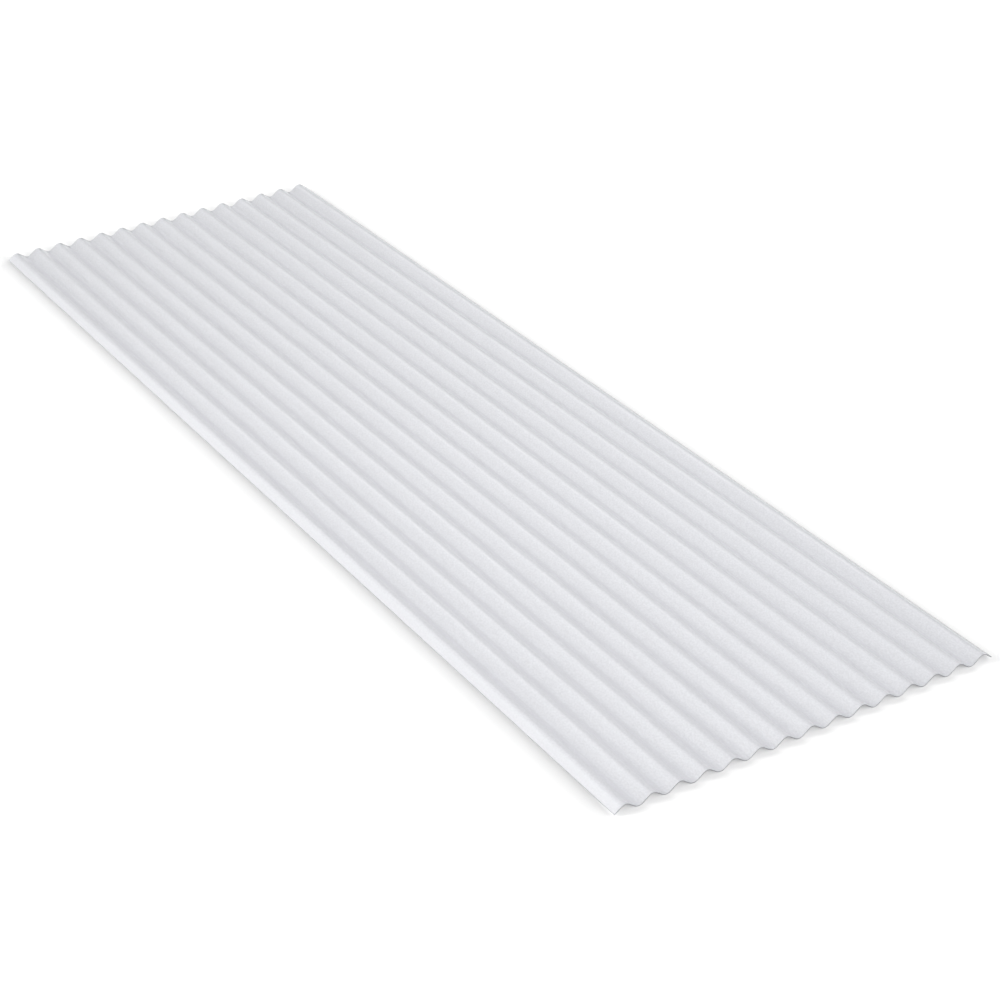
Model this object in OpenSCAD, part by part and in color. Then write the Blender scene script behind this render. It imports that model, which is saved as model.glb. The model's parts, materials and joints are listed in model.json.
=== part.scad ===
// Corrugated PVC roofing sheet: one extruded sheet of even wall, with round
// waves that run along its length and a cut side edge beyond each outer crest.
// It lies flat with its troughs on the ground. The origin is at the middle of
// its length and width, at the height of the trough undersides; Y runs along
// the waves, X across them and Z up. All sizes are in millimetres.

/* [Sheet] */
// Length of the sheet, along its waves
sheet_l = 3000; // [600:10:6000]
// Thickness of the wall, square to its surface
wall_t = 2; // [1:0.1:3]

/* [Waves] */
// Number of crests across the sheet
crests = 15; // [3:1:20]
// Distance from one crest to the next
pitch = 63; // [62:1:80]
// Height of the waves, from trough underside to crest top
wave_h = 18; // [12:0.5:20]
// Bend radius of crests and troughs, at the middle of the wall
bend_r = 15; // [10:0.5:17]
// Distance from each outer crest to the side edge beyond it
side_reach = 24; // [12:0.5:30]
// Flat faces that make up each half bend
bend_steps = 6; // [3:1:10]

/* [Hidden] */

sheet_w = (crests - 1) * pitch + 2 * side_reach;
half_pitch = pitch / 2;

// Heights of the bend centres: below each crest and above each trough
crest_centre_z = wave_h - wall_t / 2 - bend_r;
trough_centre_z = wall_t / 2 + bend_r;

// Slope of the straight flank that is tangent to a crest bend and to the next trough bend
centre_rise = trough_centre_z - crest_centre_z;
flank_slope = asin(2 * bend_r / norm([half_pitch, centre_rise])) - atan2(centre_rise, half_pitch);

// Each surface of the wall is given by its radius over a crest and its radius in a trough
upper_radii = [bend_r + wall_t / 2, bend_r - wall_t / 2];
lower_radii = [bend_r - wall_t / 2, bend_r + wall_t / 2];

// Height of a surface at a distance from its nearest crest: crest bend, flank, then trough bend
function surface_z(radii, from_crest) =
    let (
        crest_end = radii[0] * sin(flank_slope),
        trough_start = half_pitch - radii[1] * sin(flank_slope)
    )
    from_crest <= crest_end
        ? crest_centre_z + sqrt(radii[0] ^ 2 - from_crest ^ 2)
    : from_crest >= trough_start
        ? trough_centre_z - sqrt(radii[1] ^ 2 - (half_pitch - from_crest) ^ 2)
    : crest_centre_z + radii[0] * cos(flank_slope) - (from_crest - crest_end) * tan(flank_slope);

// Distances from a crest to the corners of a surface, from beside the crest to beside the trough
function half_wave(radii) = concat(
    [for (step = [1 : bend_steps]) radii[0] * sin(flank_slope * step / bend_steps)],
    [for (step = [bend_steps : -1 : 1]) half_pitch - radii[1] * sin(flank_slope * step / bend_steps)]
);

// The same distances on both sides of the crest, from left to right, with the trough on the right
function whole_wave(radii) =
    let (side = half_wave(radii))
    concat([for (i = [len(side) - 1 : -1 : 0]) -side[i]], [0], side, [half_pitch]);

// Corners of a surface across the whole sheet, from its left side edge to its right one
function surface_line(radii) =
    let (edge_z = surface_z(radii, side_reach))
    concat(
        [[-sheet_w / 2, edge_z]],
        [
            for (crest = [0 : crests - 1], offset = whole_wave(radii))
                let (x = (crest - (crests - 1) / 2) * pitch + offset)
                if (abs(x) < sheet_w / 2)
                    [x, surface_z(radii, abs(offset))]
        ],
        [[sheet_w / 2, edge_z]]
    );

// Cross section of the sheet: along its upper surface, then back along its lower one
module wave_section() {
    upper = surface_line(upper_radii);
    lower = surface_line(lower_radii);
    polygon(concat(upper, [for (i = [len(lower) - 1 : -1 : 0]) lower[i]]));
}

// The whole sheet, extruded along its waves
module roofing_sheet() {
    color("whitesmoke")
        translate([0, sheet_l / 2, 0])
            rotate([90, 0, 0])
                linear_extrude(height = sheet_l)
                    wave_section();
}

roofing_sheet();
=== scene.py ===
"""Corrugated PVC roofing sheet, dressed for rendering on a pale studio floor.

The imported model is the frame. This script replaces its one node with a finer mesh of the
same section and length, and gives it the finishes of extruded PVC and of a sawn end.
Lengths are in metres, Y runs along the waves, X across them and Z up.
"""

import json
import logging
import math
from dataclasses import dataclass, field, replace
from enum import Enum

import bpy
import numpy as np
from mathutils import Matrix, Vector


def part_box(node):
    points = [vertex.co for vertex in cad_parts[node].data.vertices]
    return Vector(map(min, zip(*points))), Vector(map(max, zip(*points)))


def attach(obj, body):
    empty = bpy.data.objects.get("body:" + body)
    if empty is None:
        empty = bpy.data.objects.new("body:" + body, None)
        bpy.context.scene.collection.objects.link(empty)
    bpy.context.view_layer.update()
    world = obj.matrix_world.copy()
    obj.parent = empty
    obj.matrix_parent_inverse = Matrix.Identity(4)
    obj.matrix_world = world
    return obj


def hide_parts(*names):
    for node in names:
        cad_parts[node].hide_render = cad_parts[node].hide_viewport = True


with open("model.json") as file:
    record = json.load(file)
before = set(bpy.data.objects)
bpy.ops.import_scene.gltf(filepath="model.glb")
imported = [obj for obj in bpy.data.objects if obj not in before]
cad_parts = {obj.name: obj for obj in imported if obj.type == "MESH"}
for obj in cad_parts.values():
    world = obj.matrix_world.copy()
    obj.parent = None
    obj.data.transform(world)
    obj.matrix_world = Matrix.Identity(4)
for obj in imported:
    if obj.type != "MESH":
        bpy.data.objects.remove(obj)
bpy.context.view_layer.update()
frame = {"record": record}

NODE = "roofing_sheet"
BODY = "root"
MM = 0.001
WHITE = (1.0, 1.0, 1.0, 1.0)

Socket = bpy.types.NodeSocket
Colour = tuple[float, float, float]
Value = float | tuple[float, ...] | Socket

log = logging.getLogger("roofing_sheet")


class Face(Enum):
    """The kinds of surface on the sheet, in the order of its material slots."""

    WEATHER = 0
    UNDERSIDE = 1
    CUT = 2
    MATT = 3


# ---------------------------------------------------------------------------
# Node trees
# ---------------------------------------------------------------------------


class Nodes:
    """A short way to add and join the nodes of one tree."""

    def __init__(self, owner: bpy.types.Material | bpy.types.World) -> None:
        """Start an empty tree.

        Args:
            owner: The material or world that the tree belongs to.
        """
        owner.use_nodes = True
        self.owner = owner
        self.tree = owner.node_tree
        self.tree.nodes.clear()

    def put(self, value: Value, socket: Socket) -> None:
        """Link a value output to an input, or set the input to a plain value.

        Args:
            value: The value output or plain value.
            socket: The input.
        """
        if isinstance(value, Socket):
            self.tree.links.new(value, socket)
        else:
            socket.default_value = value

    def add(
        self, kind: str, settings: dict[str, object] | None = None, **inputs: Value
    ) -> bpy.types.Node:
        """Add a node and set or link its inputs.

        Args:
            kind: The node's type without its ShaderNode prefix.
            settings: Values for the node's own properties.
            **inputs: A value or an output socket for each input, by its name with
                underscores for spaces.

        Returns:
            The new node.
        """
        node = self.tree.nodes.new("ShaderNode" + kind)
        for key, value in (settings or {}).items():
            setattr(node, key, value)
        for key, value in inputs.items():
            self.put(value, node.inputs[key.replace("_", " ")])
        return node

    def math(self, operation: str, *values: Value) -> Socket:
        """Join two or three values by an operation.

        Args:
            operation: The Math node's name for it.
            *values: A value or value output for each of its inputs.

        Returns:
            The value output.
        """
        node = self.add("Math", {"operation": operation})
        for value, socket in zip(values, node.inputs):
            self.put(value, socket)
        return node.outputs["Value"]

    def noise(self, scale: tuple[float, float, float], detail: float) -> Socket:
        """Noise on the object's coordinates, from 0 to 1 about 0.5.

        Args:
            scale: Pattern units to a metre along X, Y and Z.
            detail: Number of finer layers.

        Returns:
            The value output.
        """
        coord = self.add("TexCoord")
        places = self.add("Mapping", Vector=coord.outputs["Object"], Scale=scale)
        node = self.add("TexNoise", Vector=places.outputs["Vector"], Scale=1.0, Detail=detail)
        return node.outputs["Fac"]

    def sum_of(self, parts: list[tuple[Socket, float]], start: float) -> Socket:
        """start + sum of weight * (value - 0.5), for values that lie about 0.5.

        Args:
            parts: Each value output with its weight.
            start: The sum where every value is 0.5.

        Returns:
            The value output.
        """
        total: Value = start - sum(weight for _, weight in parts) / 2
        for value, weight in parts:
            total = self.math("MULTIPLY_ADD", value, weight, total)
        return total

    def mix(self, factor: Socket, low: Colour | Socket, high: Colour) -> Socket:
        """A colour between low, at a factor of 0, and high, at 1.

        Args:
            factor: The mixing value.
            low: Linear colour or colour output at 0.
            high: Linear colour at 1.

        Returns:
            The colour output.
        """
        node = self.add("Mix", {"data_type": "RGBA", "clamp_factor": True}, Factor=factor)
        # The node keeps its colours in inputs 6 and 7 and in output 2
        self.put(low if isinstance(low, Socket) else (*low, 1.0), node.inputs[6])
        self.put((*high, 1.0), node.inputs[7])
        return node.outputs[2]

    def coordinate(self, axis: str) -> Socket:
        """The object's X, Y or Z coordinate, by the name of its axis."""
        coord = self.add("TexCoord")
        return self.add("SeparateXYZ", Vector=coord.outputs["Object"]).outputs[axis]

    def from_crest(self, pitch: float, lean: float) -> Socket:
        """The distance across to the nearest crest, of waves with a crest at X = 0.

        Args:
            pitch: Distance between crests.
            lean: How far the whole pattern lies to the left of the waves.

        Returns:
            The value output, from 0 at a crest to half a pitch at a trough.
        """
        return self.math("PINGPONG", self.math("ADD", self.coordinate("X"), lean), pitch / 2)

    def ramp(self, value: Socket, start: float, end: float, low: float, high: float) -> Socket:
        """A smooth change from one level to another as a value grows.

        Args:
            value: The value output.
            start: Where the change starts.
            end: Where it ends.
            low: The level up to the start.
            high: The level past the end.

        Returns:
            The value output.
        """
        ramp = self.add(
            "MapRange",
            {"interpolation_type": "SMOOTHSTEP"},
            Value=value,
            From_Min=start,
            From_Max=end,
            To_Min=low,
            To_Max=high,
        )
        return ramp.outputs["Result"]

    def where_seen(self, lighting: bpy.types.Node, seen: bpy.types.Node) -> bpy.types.Node:
        """One shader for the light that it gives, and another where it is seen or reflected.

        Args:
            lighting: The shader that lights things.
            seen: The shader that the camera and reflections see.

        Returns:
            The joined shader.
        """
        path = self.add("LightPath").outputs
        look = self.math("MAXIMUM", path["Is Camera Ray"], path["Is Glossy Ray"])
        node = self.add("MixShader", Fac=look)
        self.put(lighting.outputs[0], node.inputs[1])
        self.put(seen.outputs[0], node.inputs[2])
        return node

    def finish(self, shader: bpy.types.Node) -> bpy.types.Material | bpy.types.World:
        """Join a shader to the output.

        Args:
            shader: The last shader node.

        Returns:
            The finished material or world.
        """
        world = isinstance(self.owner, bpy.types.World)
        self.add("OutputWorld" if world else "OutputMaterial", Surface=shader.outputs[0])
        return self.owner


# ---------------------------------------------------------------------------
# Finishes
# ---------------------------------------------------------------------------


@dataclass(frozen=True)
class PaintedShadingAndMatt:
    """Where light and shade are painted on the skin: troughs, both side laps and the upper end.

    Attributes:
        pitch: Distance between crests.
        edge_x: X of the right side edge.
        end_y: Y of the upper end.
        trough_shade_lean: How far the line of painted shade in a trough lies left of its bottom.
        trough_shade_width: How far to each side that line fades out.
        lap: Width of a side lap: painted shade on the right, painted light on the left.
        lap_fade: Distance over which it changes.
        matt_lap: Width of the right lap's skin that has lost its gloss.
        end: Width of the upper end's painted shade.
        end_fade: Distance over which that painted shade fades in.
        matt_end: Width of the upper end's skin that has lost its gloss.
        shoulder: How far right of the crests the upper end's painted shade and matt skin lie.
        core: How far to each side of that the painted shade is full.
        reach: How far to each side of that it fades out.
    """

    pitch: float
    edge_x: float
    end_y: float
    trough_shade_lean: float = 3.5 * MM
    trough_shade_width: float = 5 * MM
    lap: float = 18 * MM
    lap_fade: float = 6 * MM
    matt_lap: float = 15 * MM
    end: float = 22 * MM
    end_fade: float = 8 * MM
    matt_end: float = 18 * MM
    shoulder: float = 15 * MM
    core: float = 10 * MM
    reach: float = 16 * MM

    def is_matt(self, across: np.ndarray, along: np.ndarray) -> np.ndarray:
        """Whether the skin has lost its gloss.

        It has in the right lap, and in the upper end within reach of a crest's shoulder.

        Args:
            across: Places across the sheet.
            along: Places along it, in a shape that broadcasts with the others.

        Returns:
            A truth value for each pair of places.
        """
        off_shoulder = across - self.shoulder
        nearest = self.pitch * np.round(off_shoulder / self.pitch)
        on_shoulder = np.abs(off_shoulder - nearest) < self.reach
        in_end = along > self.end_y - self.matt_end
        in_lap = across > self.edge_x - self.matt_lap
        return (in_end & on_shoulder) | in_lap

    def trough_shade(self, nodes: Nodes) -> Socket:
        """The line of painted shade in each trough.

        Args:
            nodes: The tree to add it to.

        Returns:
            The value output, from 0 beside the line to 1 at its middle.
        """
        trough = self.pitch / 2
        crest = nodes.from_crest(self.pitch, self.trough_shade_lean)
        return nodes.ramp(crest, trough - self.trough_shade_width, trough, 0.0, 1.0)

    def edge_shade(self, nodes: Nodes) -> Socket:
        """The painted shade of the right lap and of the shoulders at the upper end.

        Args:
            nodes: The tree to add it to.

        Returns:
            The value output, from 0 where no shade is painted to 1 where it is full.
        """
        lap_x = self.edge_x - self.lap
        end_y = self.end_y - self.end
        lap = nodes.ramp(nodes.coordinate("X"), lap_x, lap_x + self.lap_fade, 0.0, 1.0)
        end = nodes.ramp(nodes.coordinate("Y"), end_y, end_y + self.end_fade, 0.0, 1.0)
        from_shoulder = nodes.from_crest(self.pitch, -self.shoulder)
        on_shoulder = nodes.ramp(from_shoulder, self.core, self.reach, 1.0, 0.0)
        return nodes.math("MAXIMUM", lap, nodes.math("MULTIPLY", end, on_shoulder))

    def clean(self, nodes: Nodes) -> Socket:
        """The painted light on the left lap.

        Args:
            nodes: The tree to add it to.

        Returns:
            The value output, from 0 elsewhere to 1 where the painted light is full.
        """
        lap_x = self.lap - self.edge_x
        return nodes.ramp(nodes.coordinate("X"), lap_x - self.lap_fade, lap_x, 1.0, 0.0)


@dataclass(frozen=True)
class PvcFinish:
    """Extruded white PVC: satin, with faint die lines that run along the waves.

    Attributes:
        name: The material's name.
        wear: Where light and shade are painted on the skin, and where it is matt.
        pale: Linear colour of the palest streaks.
        deep: Linear colour of the deepest streaks.
        edge_shade_tint: Linear colour of the painted shade on the right lap and upper end.
        edge_shade_cover: How far that colour covers the skin's own.
        lap_light_tint: Linear colour of the painted light on the left lap.
        lap_light_cover: How far that colour covers the skin's own.
        streak_tone: How much broad and fine streaks each shift the tone.
        grain_tone: How much the grain shifts it.
        cloud_tone: How much the clouds shift it.
        trough_shade_tone: How much the painted shade in the troughs takes off it.
        gloss: Specular level, where 0.5 is sound PVC.
        roughness: Mean roughness of the skin.
        roughness_spread: How far the roughness strays along streaks.
        line_depth: Height of the die lines in metres.
        grain_depth: Height of the grain in metres.
        ior: Refractive index of rigid PVC.
    """

    name: str
    wear: PaintedShadingAndMatt
    pale: Colour = (0.803, 0.811, 0.848)
    deep: Colour = (0.714, 0.721, 0.754)
    edge_shade_tint: Colour = (0.5, 0.504, 0.526)
    edge_shade_cover: float = 0.85
    lap_light_tint: Colour = (0.833, 0.841, 0.88)
    lap_light_cover: float = 0.35
    streak_tone: float = 0.15
    grain_tone: float = 2.0
    cloud_tone: float = 0.35
    trough_shade_tone: float = 0.8
    gloss: float = 0.5
    roughness: float = 0.25
    roughness_spread: float = 0.03
    line_depth: float = 0.008 * MM
    grain_depth: float = 0.03 * MM
    ior: float = 1.53

    # Pattern units to a metre: across the waves, along them and up
    broad_lines = (55.0, 0.25, 55.0)
    fine_lines = (330.0, 0.5, 330.0)
    grain = (300.0, 190.0, 300.0)
    clouds = (2.2, 1.1, 2.2)

    def material(self) -> bpy.types.Material:
        """Build the material.

        The tone, from 0 for deep to 1 for pale, is a sum of broad and fine streaks, which
        are noise stretched along the waves, of a fine grain and of soft clouds, less the
        painted shade in the troughs. Painted light on the left lap and painted shade on the
        right lap and upper end cover the colour that it gives. The streaks also vary the
        roughness. The fine ones lift the surface as die lines, and the grain lifts it
        again over them.

        Returns:
            The finished material.
        """
        nodes = Nodes(bpy.data.materials.new(self.name))
        broad = nodes.noise(self.broad_lines, detail=2.0)
        fine = nodes.noise(self.fine_lines, detail=1.0)
        grain = nodes.noise(self.grain, detail=1.0)
        cloud = nodes.noise(self.clouds, detail=2.0)
        tones = [
            (broad, self.streak_tone),
            (fine, self.streak_tone),
            (grain, self.grain_tone),
            (cloud, self.cloud_tone),
        ]
        even_tone = nodes.sum_of(tones, start=0.5)
        # Painted shade: each trough is darkened along a line just left of its bottom
        trough_shade = nodes.math("MULTIPLY", self.wear.trough_shade(nodes), self.trough_shade_tone)
        tone = nodes.math("SUBTRACT", even_tone, trough_shade)
        # Painted light: the left lap is lightened
        clean = nodes.math("MULTIPLY", self.wear.clean(nodes), self.lap_light_cover)
        # Painted shade: the right lap and the shoulders at the upper end are darkened
        edge_shade = nodes.math("MULTIPLY", self.wear.edge_shade(nodes), self.edge_shade_cover)
        skin = nodes.mix(tone, self.deep, self.pale)
        colour = nodes.mix(edge_shade, nodes.mix(clean, skin, self.lap_light_tint), self.edge_shade_tint)
        spread = self.roughness_spread
        rough = nodes.sum_of([(fine, spread), (broad, spread)], start=self.roughness)
        lines = nodes.add("Bump", Strength=1.0, Distance=self.line_depth, Height=fine)
        bump = nodes.add(
            "Bump",
            Strength=1.0,
            Distance=self.grain_depth,
            Height=grain,
            Normal=lines.outputs["Normal"],
        )
        shader = nodes.add(
            "BsdfPrincipled",
            Base_Color=colour,
            Roughness=rough,
            Normal=bump.outputs["Normal"],
            IOR=self.ior,
            Specular_IOR_Level=self.gloss,
        )
        return nodes.finish(shader)


@dataclass(frozen=True)
class CutFinish:
    """A sawn PVC edge: duller and greyer than the skin, with fine saw marks.

    Attributes:
        name: The material's name.
        pale: Linear colour of the ridges between saw marks.
        deep: Linear colour in the saw marks.
        mark_tone: How much the saw marks shift the tone.
        smear_tone: How much the smears shift it.
        roughness: Mean roughness of the sawn face.
        roughness_spread: How far the roughness strays with the smears.
        mark_depth: Depth of the saw marks in metres.
    """

    name: str
    pale: Colour = (0.74, 0.748, 0.78)
    deep: Colour = (0.62, 0.627, 0.655)
    mark_tone: float = 1.2
    smear_tone: float = 0.8
    roughness: float = 0.62
    roughness_spread: float = 0.2
    mark_depth: float = 0.05 * MM

    # Pattern units to a metre: the marks cross the wall, so they are short along X
    marks = (2600.0, 900.0, 420.0)
    smears = (140.0, 140.0, 60.0)

    def material(self) -> bpy.types.Material:
        """Build the material from saw marks across the wall and broader smears.

        Returns:
            The finished material.
        """
        nodes = Nodes(bpy.data.materials.new(self.name))
        marks = nodes.noise(self.marks, detail=2.0)
        smears = nodes.noise(self.smears, detail=2.0)
        tone = nodes.sum_of([(marks, self.mark_tone), (smears, self.smear_tone)], start=0.5)
        bump = nodes.add("Bump", Strength=1.0, Distance=self.mark_depth, Height=marks)
        shader = nodes.add(
            "BsdfPrincipled",
            Base_Color=nodes.mix(tone, self.deep, self.pale),
            Roughness=nodes.sum_of([(smears, self.roughness_spread)], start=self.roughness),
            Normal=bump.outputs["Normal"],
        )
        return nodes.finish(shader)


@dataclass(frozen=True)
class FloorFinish:
    """A matt pale floor, which the camera sees as white where no shadow falls.

    Attributes:
        name: The material's name.
        tint: Linear grey that lights the sheet from below.
    """

    name: str = "studio_floor"
    tint: float = 0.35

    def material(self) -> bpy.types.Material:
        """Build the material, whose tone depends only on the kind of ray.

        Returns:
            The finished material.
        """
        nodes = Nodes(bpy.data.materials.new(self.name))
        grey = nodes.add("BsdfDiffuse", Color=(self.tint, self.tint, self.tint, 1.0))
        white = nodes.add("BsdfDiffuse", Color=WHITE)
        return nodes.finish(nodes.where_seen(grey, white))


# ---------------------------------------------------------------------------
# The sheet
# ---------------------------------------------------------------------------


@dataclass(frozen=True)
class WaveForm:
    """The section of the sheet: crest bends, straight flanks and trough bends of one wall.

    Attributes:
        crests: Number of crests.
        pitch: Distance between crests.
        height: From trough undersides to crest tops.
        wall: Thickness of the wall.
        reach: Distance from an outer crest to the side edge.
        bend: Bend radius at the middle of the wall.
        arc_steps: Mesh steps along each half bend.
        flank_steps: Mesh steps along each flank.
    """

    crests: int
    pitch: float
    height: float
    wall: float
    reach: float
    bend: float = 15 * MM
    arc_steps: int = 9
    flank_steps: int = 3

    @property
    def crest_centre(self) -> float:
        """Height of the bend centres under the crests."""
        return self.height - self.wall / 2 - self.bend

    @property
    def trough_centre(self) -> float:
        """Height of the bend centres over the troughs."""
        return self.wall / 2 + self.bend

    @property
    def slope(self) -> float:
        """Slope of the flank that is tangent to a crest bend and a trough bend, in radians."""
        half = self.pitch / 2
        rise = self.trough_centre - self.crest_centre
        return math.asin(2 * self.bend / math.hypot(half, rise)) - math.atan2(rise, half)

    @property
    def edge_x(self) -> float:
        """Distance from the middle crest to a side edge."""
        return (self.crests - 1) / 2 * self.pitch + self.reach

    def half_wave(self) -> tuple[np.ndarray, np.ndarray, np.ndarray]:
        """The middle line of the wall from a crest to the trough on its right.

        On the crest bend the point at tilt a is (bend sin a, crest centre + bend cos a), in
        the trough bend it is (pitch / 2 - bend sin a, trough centre - bend cos a), and the
        flank is the straight line between the two at the full slope.

        Returns:
            Distances from the crest, heights and tilts of the wall, without the crest.
        """
        turn = np.linspace(0, self.slope, self.arc_steps + 1)
        crest_x = self.bend * np.sin(turn)
        crest_z = self.crest_centre + self.bend * np.cos(turn)
        trough_x = self.pitch / 2 - self.bend * np.sin(turn[::-1])
        trough_z = self.trough_centre - self.bend * np.cos(turn[::-1])
        along = np.linspace(0, 1, self.flank_steps + 1)[1:-1]
        flank_x = crest_x[-1] + along * (trough_x[0] - crest_x[-1])
        flank_z = crest_z[-1] + along * (trough_z[0] - crest_z[-1])
        return (
            np.concatenate([crest_x[1:], flank_x, trough_x]),
            np.concatenate([crest_z[1:], flank_z, trough_z]),
            np.concatenate([turn[1:], np.full(along.size, self.slope), turn[::-1]]),
        )

    def surface_height(self, from_crest: float, side: int) -> float:
        """Height of one surface of the wall at a distance from its crest.

        The surface's bends have the wall's bend radius plus or minus half the wall, and its
        flank is the straight line that is tangent to both.

        Args:
            from_crest: Distance from the crest, up to half a pitch.
            side: 1 for the upper surface and -1 for the lower one.

        Returns:
            The height.
        """
        crest_r = self.bend + side * self.wall / 2
        trough_r = self.bend - side * self.wall / 2
        crest_end = crest_r * math.sin(self.slope)
        to_trough = self.pitch / 2 - from_crest
        if from_crest <= crest_end:
            return self.crest_centre + math.sqrt(crest_r**2 - from_crest**2)
        if to_trough <= trough_r * math.sin(self.slope):
            return self.trough_centre - math.sqrt(trough_r**2 - to_trough**2)
        fall = (from_crest - crest_end) * math.tan(self.slope)
        return self.crest_centre + crest_r * math.cos(self.slope) - fall

    def wall_line(self) -> "WallLine":
        """The whole section as a line of wall stations from the left edge to the right one.

        Every wave is the half wave, mirrored for its left side. Stations past the side edges
        are dropped, and each edge gets a station of its own, cut upright.

        Returns:
            The line of stations.
        """
        gap, level, tilt = self.half_wave()
        # The trough's own station belongs to the wave on its left
        offsets = np.concatenate([-gap[-2::-1], [0.0], gap])
        levels = np.concatenate([level[-2::-1], [self.height - self.wall / 2], level])
        tilts = np.concatenate([-tilt[-2::-1], [0.0], tilt])
        crest_x = (np.arange(self.crests) - (self.crests - 1) / 2) * self.pitch
        x = (crest_x[:, None] + offsets).ravel()
        z = np.tile(levels, self.crests)
        a = np.tile(tilts, self.crests)
        inside = np.abs(x) < self.edge_x - self.wall / 2
        upper = self.surface_height(self.reach, 1)
        lower = self.surface_height(self.reach, -1)
        middle = (upper + lower) / 2
        return WallLine(
            x=np.concatenate([[-self.edge_x], x[inside], [self.edge_x]]),
            z=np.concatenate([[middle], z[inside], [middle]]),
            tilt=np.concatenate([[0.0], a[inside], [0.0]]),
            half=np.concatenate(
                [
                    [(upper - lower) / 2],
                    np.full(inside.sum(), self.wall / 2),
                    [(upper - lower) / 2],
                ]
            ),
        )


@dataclass(frozen=True)
class WallLine:
    """Stations along the middle line of the wall, in section.

    Attributes:
        x: Places across the sheet.
        z: Heights.
        tilt: Lean of the wall's upward normal towards +X, in radians.
        half: Half the wall's thickness along that normal.
    """

    x: np.ndarray
    z: np.ndarray
    tilt: np.ndarray
    half: np.ndarray

    def surface(self, side: int, inset: np.ndarray) -> tuple[np.ndarray, np.ndarray]:
        """Points of one surface, which is the middle line moved along its normal.

        Args:
            side: 1 for the upper surface and -1 for the lower one.
            inset: How far each station is held back from the full thickness, with any number
                of leading axes.

        Returns:
            The points' X and Z, in the shape of inset.
        """
        out = side * (self.half - inset)
        return self.x + out * np.sin(self.tilt), self.z + out * np.cos(self.tilt)

    def arc_length(self) -> np.ndarray:
        """Distance along the middle line from the left edge to each station."""
        steps = np.hypot(np.diff(self.x), np.diff(self.z))
        return np.concatenate([[0.0], np.cumsum(steps)])


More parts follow.
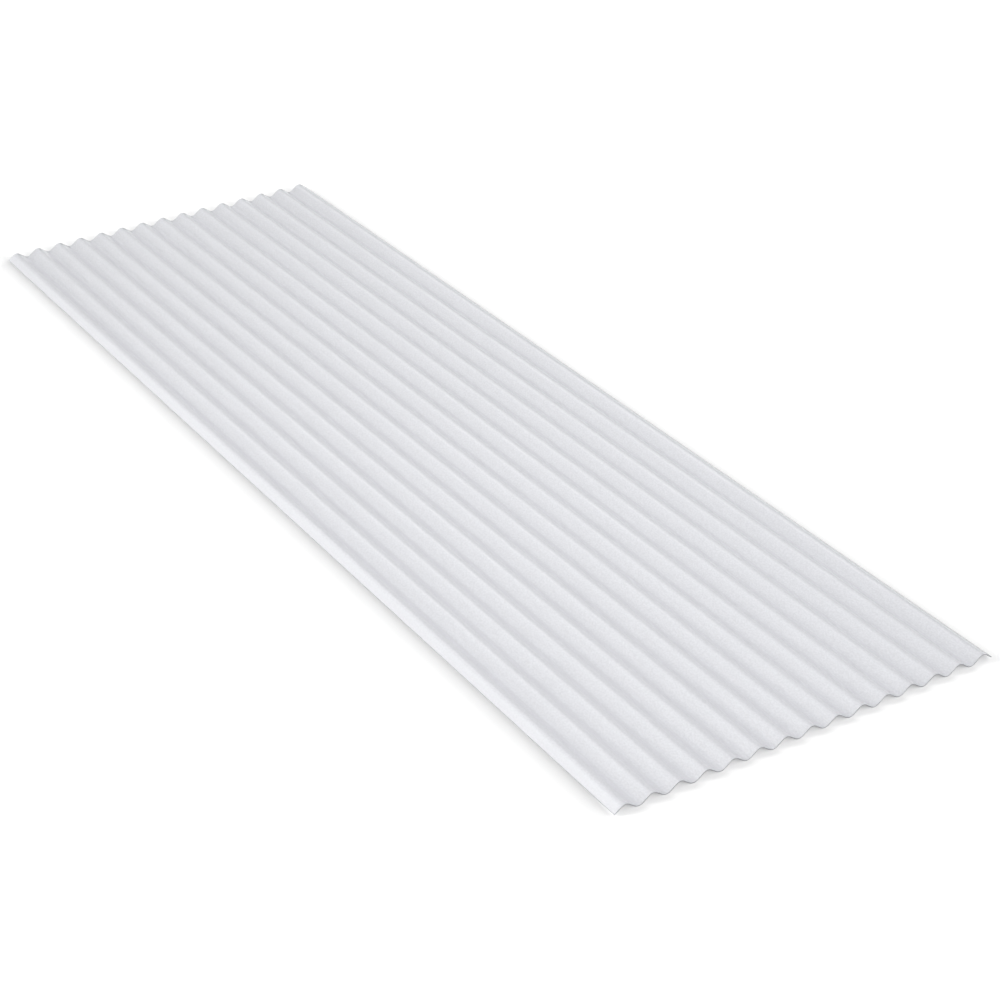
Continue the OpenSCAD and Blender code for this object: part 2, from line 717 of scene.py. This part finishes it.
@dataclass
class RoofingSheet:
    """The whole sheet: one extruded wall with sawn ends and trimmed side edges.

    Attributes:
        wave: The section.
        length: Length along the waves.
        wear: Where light and shade are painted on the skin, and where it is matt.
        arris: Radius of the worn arrises round the cut faces.
        arris_steps: Mesh steps across an arris.
        guard: Distance from an arris to a row that keeps the long bays' shading flat.
        bays: Mesh steps along the sheet.
        sharp: Angle between two faces past which their shading breaks, in radians.
        piece: The finished object, once it is built.
    """

    wave: WaveForm
    length: float
    wear: PaintedShadingAndMatt
    arris: float = 0.25 * MM
    arris_steps: int = 2
    guard: float = 1 * MM
    bays: int = 24
    sharp: float = math.radians(50)
    piece: bpy.types.Object | None = field(default=None, init=False)

    @classmethod
    def from_frame(cls) -> "RoofingSheet":
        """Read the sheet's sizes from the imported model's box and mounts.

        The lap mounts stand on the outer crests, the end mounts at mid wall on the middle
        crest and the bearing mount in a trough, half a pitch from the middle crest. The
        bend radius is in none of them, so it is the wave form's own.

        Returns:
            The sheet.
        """
        low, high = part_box(NODE)
        record = frame["record"]
        at = {mount["name"]: mount["pos_m"] for mount in record["mounts"]}
        pitch = 2 * at["trough_bearing"][0]
        outer_crest = at["right_side_lap"][0]
        wave = WaveForm(
            crests=round(2 * outer_crest / pitch) + 1,
            pitch=pitch,
            height=high.z - low.z,
            wall=2 * (high.z - at["lower_end"][2]),
            reach=high.x - outer_crest,
        )
        wear = PaintedShadingAndMatt(pitch=pitch, edge_x=wave.edge_x, end_y=high.y)
        return cls(wave=wave, length=high.y - low.y, wear=wear)

    def rows(self) -> tuple[np.ndarray, np.ndarray]:
        """Places of the mesh rows along the sheet, and how far each is held back.

        Near an end the rows follow a quarter circle: at an angle a from the sawn face, a row
        lies arris * (1 - cos a) from the end and is held back by arris * (1 - sin a). Past
        the guard rows lies a row at the width of the matt end, and the bays between these
        two are even.

        Returns:
            The rows' Y and their insets.
        """
        turn = np.linspace(0, math.pi / 2, self.arris_steps + 1)
        y = self.arris * (1 - np.cos(turn)) - self.length / 2
        inset = self.arris * (1 - np.sin(turn))
        guard = y[-1] + self.guard
        first = self.wear.matt_end - self.length / 2
        bays = np.linspace(first, -first, self.bays + 1)
        return (
            np.concatenate([y, [guard], bays, [-guard], -y[::-1]]),
            np.concatenate([inset, np.zeros(bays.size + 2), inset[::-1]]),
        )

    def columns(self) -> tuple[WallLine, np.ndarray]:
        """The wall's stations across the sheet, with the arrises of the side edges added.

        Each edge station is followed inwards by stations on a quarter circle, as the rows
        are at the ends.

        Returns:
            The stations and how far each is held back.
        """
        line = self.wave.wall_line()
        turn = np.linspace(0, math.pi / 2, self.arris_steps + 1)
        inwards = self.arris * (1 - np.cos(turn))
        held = self.arris * (1 - np.sin(turn))
        near = self.wave.edge_x - inwards
        rise = np.array(
            [
                [self.wave.surface_height(self.wave.reach - d, side) for d in inwards]
                for side in (1, -1)
            ]
        )
        middle, half = rise.mean(0), (rise[0] - rise[1]) / 2
        level = np.zeros(near.size)
        stations = WallLine(
            x=np.concatenate([-near, line.x[1:-1], near[::-1]]),
            z=np.concatenate([middle, line.z[1:-1], middle[::-1]]),
            tilt=np.concatenate([level, line.tilt[1:-1], level]),
            half=np.concatenate([half, line.half[1:-1], half[::-1]]),
        )
        inset = np.concatenate([held, np.zeros(line.x.size - 2), held[::-1]])
        return stations, inset

    def build(self) -> bpy.types.Object:
        """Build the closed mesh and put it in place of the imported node.

        The vertices are a grid of rows by a closed loop of columns: the upper surface from
        left to right, then the lower one back. Each end is closed by a strip of faces
        between the two surfaces.

        Returns:
            The sheet's object.
        """
        stations, column_inset = self.columns()
        row_y, row_inset = self.rows()
        inset = np.maximum(row_inset[:, None], column_inset[None, :])
        upper_x, upper_z = stations.surface(1, inset)
        lower_x, lower_z = stations.surface(-1, inset)
        loop_x = np.concatenate([upper_x, lower_x[:, ::-1]], axis=1)
        loop_z = np.concatenate([upper_z, lower_z[:, ::-1]], axis=1)
        rows, around = loop_x.shape
        loop_y = np.broadcast_to(row_y[:, None], loop_x.shape)
        points = np.stack([loop_x, loop_y, loop_z], axis=-1).reshape(-1, 3)

        sides = self.side_faces(rows, around)
        ends = self.end_faces(rows, around)
        faces = np.concatenate([sides, ends])
        kinds = np.concatenate(
            [self.side_kinds(stations, row_y), np.full(len(ends), Face.CUT.value)]
        )
        mesh = bpy.data.meshes.new("roofing_sheet_mesh")
        mesh.from_pydata(points.tolist(), [], faces.tolist())
        mesh.polygons.foreach_set("material_index", kinds.astype(np.int32))
        mesh.polygons.foreach_set("use_smooth", np.ones(len(faces), bool))
        self.unroll(mesh, stations, row_y, faces)
        mesh.set_sharp_from_angle(angle=self.sharp)
        mesh.update()
        mesh.validate()
        self.piece = bpy.data.objects.new("sheet", mesh)
        bpy.context.scene.collection.objects.link(self.piece)
        return self.piece

    @staticmethod
    def side_faces(rows: int, around: int) -> np.ndarray:
        """Faces between neighbouring rows, all round the loop.

        Args:
            rows: Number of rows.
            around: Number of points round the loop.

        Returns:
            Corner indices, four to a face, turned outwards.
        """
        row = np.arange(rows - 1)[:, None] * around
        here = np.arange(around)[None, :]
        following = (here + 1) % around
        corners = [row + here, row + following, row + around + following, row + around + here]
        return np.stack(np.broadcast_arrays(*corners), axis=-1).reshape(-1, 4)

    @staticmethod
    def end_faces(rows: int, around: int) -> np.ndarray:
        """Strips that close both ends, from the upper surface to the lower one.

        Args:
            rows: Number of rows.
            around: Number of points round the loop.

        Returns:
            Corner indices, four to a face, turned outwards.
        """
        upper = np.arange(around // 2 - 1)
        lower = around - 1 - upper
        near = np.stack([upper, lower, lower - 1, upper + 1], axis=-1)
        far = near[:, ::-1] + (rows - 1) * around
        return np.concatenate([near, far])

    def side_kinds(self, stations: WallLine, row_y: np.ndarray) -> np.ndarray:
        """The kind of each side face, in the order of side_faces.

        A face of the upper surface is of the matt kind if the skin at its middle is matt.

        Args:
            stations: The wall's stations.
            row_y: The rows' Y.

        Returns:
            A value of Face for each face.
        """
        across = (stations.x[1:] + stations.x[:-1]) / 2
        along = (row_y[1:] + row_y[:-1]) / 2
        matt = self.wear.is_matt(across[None, :], along[:, None])
        kinds = np.full((along.size, 2 * stations.x.size), Face.UNDERSIDE.value)
        kinds[:, : across.size] = np.where(matt, Face.MATT.value, Face.WEATHER.value)
        kinds[:, [across.size, -1]] = Face.CUT.value
        return kinds.ravel()

    def unroll(
        self, mesh: bpy.types.Mesh, stations: WallLine, row_y: np.ndarray, faces: np.ndarray
    ) -> None:
        """Lay the sheet out flat in a UV map: the upper surface beside the lower one.

        U is the distance along the section and V the distance along the sheet. The strips of
        the cut ends and side edges lie in the margins.

        Args:
            mesh: The sheet's mesh, with its faces in the order given.
            stations: The wall's stations.
            row_y: The rows' Y.
            faces: Corner indices of every face.
        """
        along = stations.arc_length()
        span = along[-1]
        around = 2 * len(along)
        rows = len(row_y)
        loop_u = np.concatenate([along, 2 * span + self.wave.wall - along[::-1]])
        row_v = row_y + self.length / 2
        index = faces % around
        u = loop_u[index]
        v = row_v[faces // around]
        # The last face round the loop closes on the left edge, one wall past the lower surface
        sides = (rows - 1) * around
        closing = np.zeros(len(faces), bool)
        closing[around - 1 : sides : around] = True
        u[closing[:, None] & (index == 0)] = 2 * (span + self.wave.wall)
        # The end strips lie below and above the sheet, a wall's height each
        ends = np.arange(len(faces)) >= sides
        lower = ends[:, None] & (index >= len(along))
        u[lower] = along[around - 1 - index[lower]]
        margin = 2 * self.wave.wall
        end_v = np.where(v < self.length / 2, -margin, self.length + margin)
        outwards = np.where(v < self.length / 2, -self.wave.wall, self.wave.wall)
        v = np.where(ends[:, None], end_v, v)
        v = np.where(lower, v + outwards, v)
        low_v, high_v = v.min(), v.max()
        flat = np.stack([u / u.max(), (v - low_v) / (high_v - low_v)], axis=-1)
        layer = mesh.uv_layers.new(name="OFBake")
        layer.uv.foreach_set("vector", flat.reshape(-1).astype(np.float32))

    def dress(self) -> None:
        """Give the weather face, its matt skin, the underside and the cut faces finishes."""
        skin = PvcFinish("pvc_weather_face", self.wear)
        finishes = {
            Face.WEATHER: skin,
            Face.UNDERSIDE: replace(skin, name="pvc_underside", roughness=0.36),
            Face.CUT: CutFinish("pvc_sawn_edge"),
            Face.MATT: replace(skin, name="pvc_matt_skin", gloss=0.1),
        }
        for face in Face:
            self.piece.data.materials.append(finishes[face].material())

    def place(self) -> None:
        """Hand the finished piece to the frame."""
        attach(self.piece, BODY)
        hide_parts(NODE)


# ---------------------------------------------------------------------------
# The studio
# ---------------------------------------------------------------------------


class Lit(Enum):
    """What a lamp lights: the sheet and the floor are lit apart, as in two takes."""

    SHEET = "sheet"
    FLOOR = "floor"


@dataclass(frozen=True)
class SunLamp:
    """A very distant soft lamp.

    Its light has a direction only, so the place where its object stands changes nothing.

    Attributes:
        name: What it is called.
        lit: What it lights.
        azimuth: Where it stands, in degrees clockwise from +Y seen from above.
        elevation: Its height above the horizon in degrees.
        level: How bright a white matt surface that faces it looks, where 1 is white.
        softness: Its apparent width in degrees.
        shadow: Whether it casts shadows.
        stand: Distance from the origin at which its object stands.
    """

    name: str
    lit: Lit
    azimuth: float
    elevation: float
    level: float
    softness: float
    shadow: bool = True
    stand: float = 5.0

    def hang(self) -> bpy.types.Object:
        """Make the lamp and turn it towards the origin.

        Returns:
            The lamp's object.
        """
        data = bpy.data.lights.new(self.name, "SUN")
        data.energy = math.pi * self.level
        data.angle = math.radians(self.softness)
        data.use_shadow = self.shadow
        lamp = bpy.data.objects.new(self.name, data)
        towards = direction(self.azimuth, self.elevation)
        lamp.rotation_mode = "QUATERNION"
        lamp.rotation_quaternion = towards.to_track_quat("Z", "Y")
        lamp.location = towards * self.stand
        return lamp


@dataclass(frozen=True)
class SoftBox:
    """A round soft box that hangs near the sheet, so its light falls off along it.

    Attributes:
        name: What it is called.
        lit: What it lights.
        place: Where it hangs.
        aim: The point that it faces.
        level: How bright a white matt surface at that point looks if it faces the box.
        size: Its diameter.
    """

    name: str
    lit: Lit
    place: tuple[float, float, float]
    aim: tuple[float, float, float]
    level: float
    size: float

    def hang(self) -> bpy.types.Object:
        """Make the lamp and turn it towards its aim.

        A flat lamp of power P gives a facing surface at a distance d an irradiance of
        P / (pi * d squared), and white looks 1 at an irradiance of pi.

        Returns:
            The lamp's object.
        """
        away = Vector(self.place) - Vector(self.aim)
        data = bpy.data.lights.new(self.name, "AREA")
        data.shape = "DISK"
        data.size = self.size
        data.energy = (math.pi * away.length) ** 2 * self.level
        lamp = bpy.data.objects.new(self.name, data)
        lamp.rotation_mode = "QUATERNION"
        lamp.rotation_quaternion = away.to_track_quat("Z", "Y")
        lamp.location = self.place
        return lamp


def direction(azimuth: float, elevation: float) -> Vector:
    """Unit vector towards a place in the sky.

    Args:
        azimuth: Its angle clockwise from +Y seen from above, in degrees.
        elevation: Its height above the horizon, in degrees.

    Returns:
        The vector.
    """
    turn, lift = math.radians(azimuth), math.radians(elevation)
    level = math.cos(lift)
    return Vector((math.sin(turn) * level, math.cos(turn) * level, math.sin(lift)))


@dataclass(frozen=True)
class Studio:
    """A plain pale floor under an even sky, with soft lamps.

    Attributes:
        floor_half: Half the floor's width.
        sky: Level of the even light from all round.
        lamps: The lamps.
        floor: The floor's finish.
    """

    floor_half: float = 60.0
    sky: float = 0.143
    lamps: tuple[SunLamp | SoftBox, ...] = (
        SunLamp("horizon_left", Lit.SHEET, azimuth=-90, elevation=3, level=0.295, softness=10),
        SunLamp("low_left", Lit.SHEET, azimuth=-90, elevation=15, level=0.094, softness=25),
        SunLamp("left", Lit.SHEET, azimuth=-40, elevation=45, level=0.091, softness=16),
        SunLamp("back_left", Lit.SHEET, azimuth=-30, elevation=30, level=0.146, softness=25),
        SunLamp("back_high", Lit.SHEET, azimuth=-8, elevation=42, level=0.046, softness=22),
        SunLamp("back", Lit.SHEET, azimuth=5, elevation=45, level=0.076, softness=26),
        SunLamp("right", Lit.SHEET, azimuth=90, elevation=40, level=0.346, softness=12),
        SunLamp("front", Lit.SHEET, azimuth=200, elevation=35, level=0.2, softness=60),
        SoftBox("near", Lit.SHEET, (-0.3, -1.2, 2.6), aim=(0.0, -0.4, 0.0), level=0.131, size=1.6),
        SunLamp(
            "floor_fill", Lit.FLOOR, azimuth=0, elevation=90, level=0.28, softness=20, shadow=False
        ),
        SunLamp("floor_left", Lit.FLOOR, azimuth=-60, elevation=14, level=1.046, softness=30),
        SunLamp("floor_right", Lit.FLOOR, azimuth=75, elevation=12, level=0.558, softness=16),
        SunLamp("floor_near", Lit.FLOOR, azimuth=110, elevation=16, level=0.597, softness=40),
        SunLamp("floor_front", Lit.FLOOR, azimuth=150, elevation=13, level=0.882, softness=20),
    )
    floor: FloorFinish = FloorFinish()

    def build(self, sheet: bpy.types.Object) -> None:
        """Lay the floor, light the sky and hang the lamps.

        Args:
            sheet: The object that the sheet's lamps light.
        """
        lit = {Lit.SHEET: self.group(sheet), Lit.FLOOR: self.group(self.lay_floor())}
        self.light_sky()
        for lamp in self.lamps:
            hung = lamp.hang()
            hung.light_linking.receiver_collection = lit[lamp.lit]
            bpy.context.scene.collection.objects.link(hung)
            log.info("lamp %s lights the %s", lamp.name, lamp.lit.value)

    @staticmethod
    def group(piece: bpy.types.Object) -> bpy.types.Collection:
        """A collection that holds one object, for the lamps that light only it.

        Args:
            piece: The object.

        Returns:
            The collection.
        """
        members = bpy.data.collections.new(piece.name + "_lit")
        members.objects.link(piece)
        return members

    def lay_floor(self) -> bpy.types.Object:
        """Make the floor as one large square under the sheet.

        Returns:
            The floor.
        """
        half, level = self.floor_half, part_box(NODE)[0].z
        mesh = bpy.data.meshes.new("floor_mesh")
        sides = ((-half, -half), (half, -half), (half, half), (-half, half))
        mesh.from_pydata([(x, y, level) for x, y in sides], [], [range(4)])
        mesh.materials.append(self.floor.material())
        floor = bpy.data.objects.new("floor", mesh)
        bpy.context.scene.collection.objects.link(floor)
        return floor

    def light_sky(self) -> None:
        """Make the world even: plain light, and white where it is seen or reflected."""
        nodes = Nodes(bpy.data.worlds.new("studio_sky"))
        light = nodes.add("Background", Color=WHITE, Strength=self.sky)
        white = nodes.add("Background", Color=WHITE, Strength=1.0)
        bpy.context.scene.world = nodes.finish(nodes.where_seen(light, white))


@dataclass(frozen=True)
class Viewpoint:
    """The camera, given by the point on the floor at the middle of its lens axis.

    Attributes:
        aim: That point.
        distance: From the camera to it.
        azimuth: Way the camera looks, in degrees clockwise from +Y seen from above.
        elevation: How far the camera looks down, in degrees.
        roll: Turn about the lens axis in degrees, clockwise.
        lens: Focal length in millimetres.
        sensor: Width of the sensor in millimetres.
        shift: Sideways shift of the view, as a share of its width.
        clip: Nearest and furthest distance that the camera sees.
    """

    aim: tuple[float, float, float] = (0.1236, -0.4937, 0.0)
    distance: float = 5.3027
    azimuth: float = 33.241
    elevation: float = 30.222
    roll: float = -0.454
    lens: float = 83.574
    sensor: float = 36.0
    shift: float = -0.0799
    clip: tuple[float, float] = (0.1, 300.0)

    def build(self) -> None:
        """Make the scene's camera."""
        data = bpy.data.cameras.new("camera")
        data.sensor_width = self.sensor
        data.lens = self.lens
        data.shift_x = self.shift
        data.clip_start, data.clip_end = self.clip
        camera = bpy.data.objects.new("camera", data)
        forward = direction(self.azimuth, -self.elevation)
        level_right = forward.cross(Vector((0, 0, 1))).normalized()
        level_down = forward.cross(level_right)
        turn = math.radians(self.roll)
        right = math.cos(turn) * level_right - math.sin(turn) * level_down
        up = right.cross(forward)
        camera.matrix_world = Matrix.Translation(
            Vector(self.aim) - forward * self.distance
        ) @ Matrix((right, up, -forward)).transposed().to_4x4()
        bpy.context.scene.collection.objects.link(camera)
        bpy.context.scene.camera = camera


def main() -> None:
    """Build the camera, the sheet and the studio, and report each piece."""
    logging.basicConfig(level=logging.INFO, format="%(name)s: %(message)s")
    bpy.context.scene.view_settings.view_transform = "Standard"
    Viewpoint().build()
    sheet = RoofingSheet.from_frame()
    piece = sheet.build()
    sheet.dress()
    sheet.place()
    log.info(
        "%s: %d faces, %d crests at %.0f mm",
        piece.name,
        len(piece.data.polygons),
        sheet.wave.crests,
        sheet.wave.pitch / MM,
    )
    Studio().build(piece)


if __name__ == "__main__":
    main()
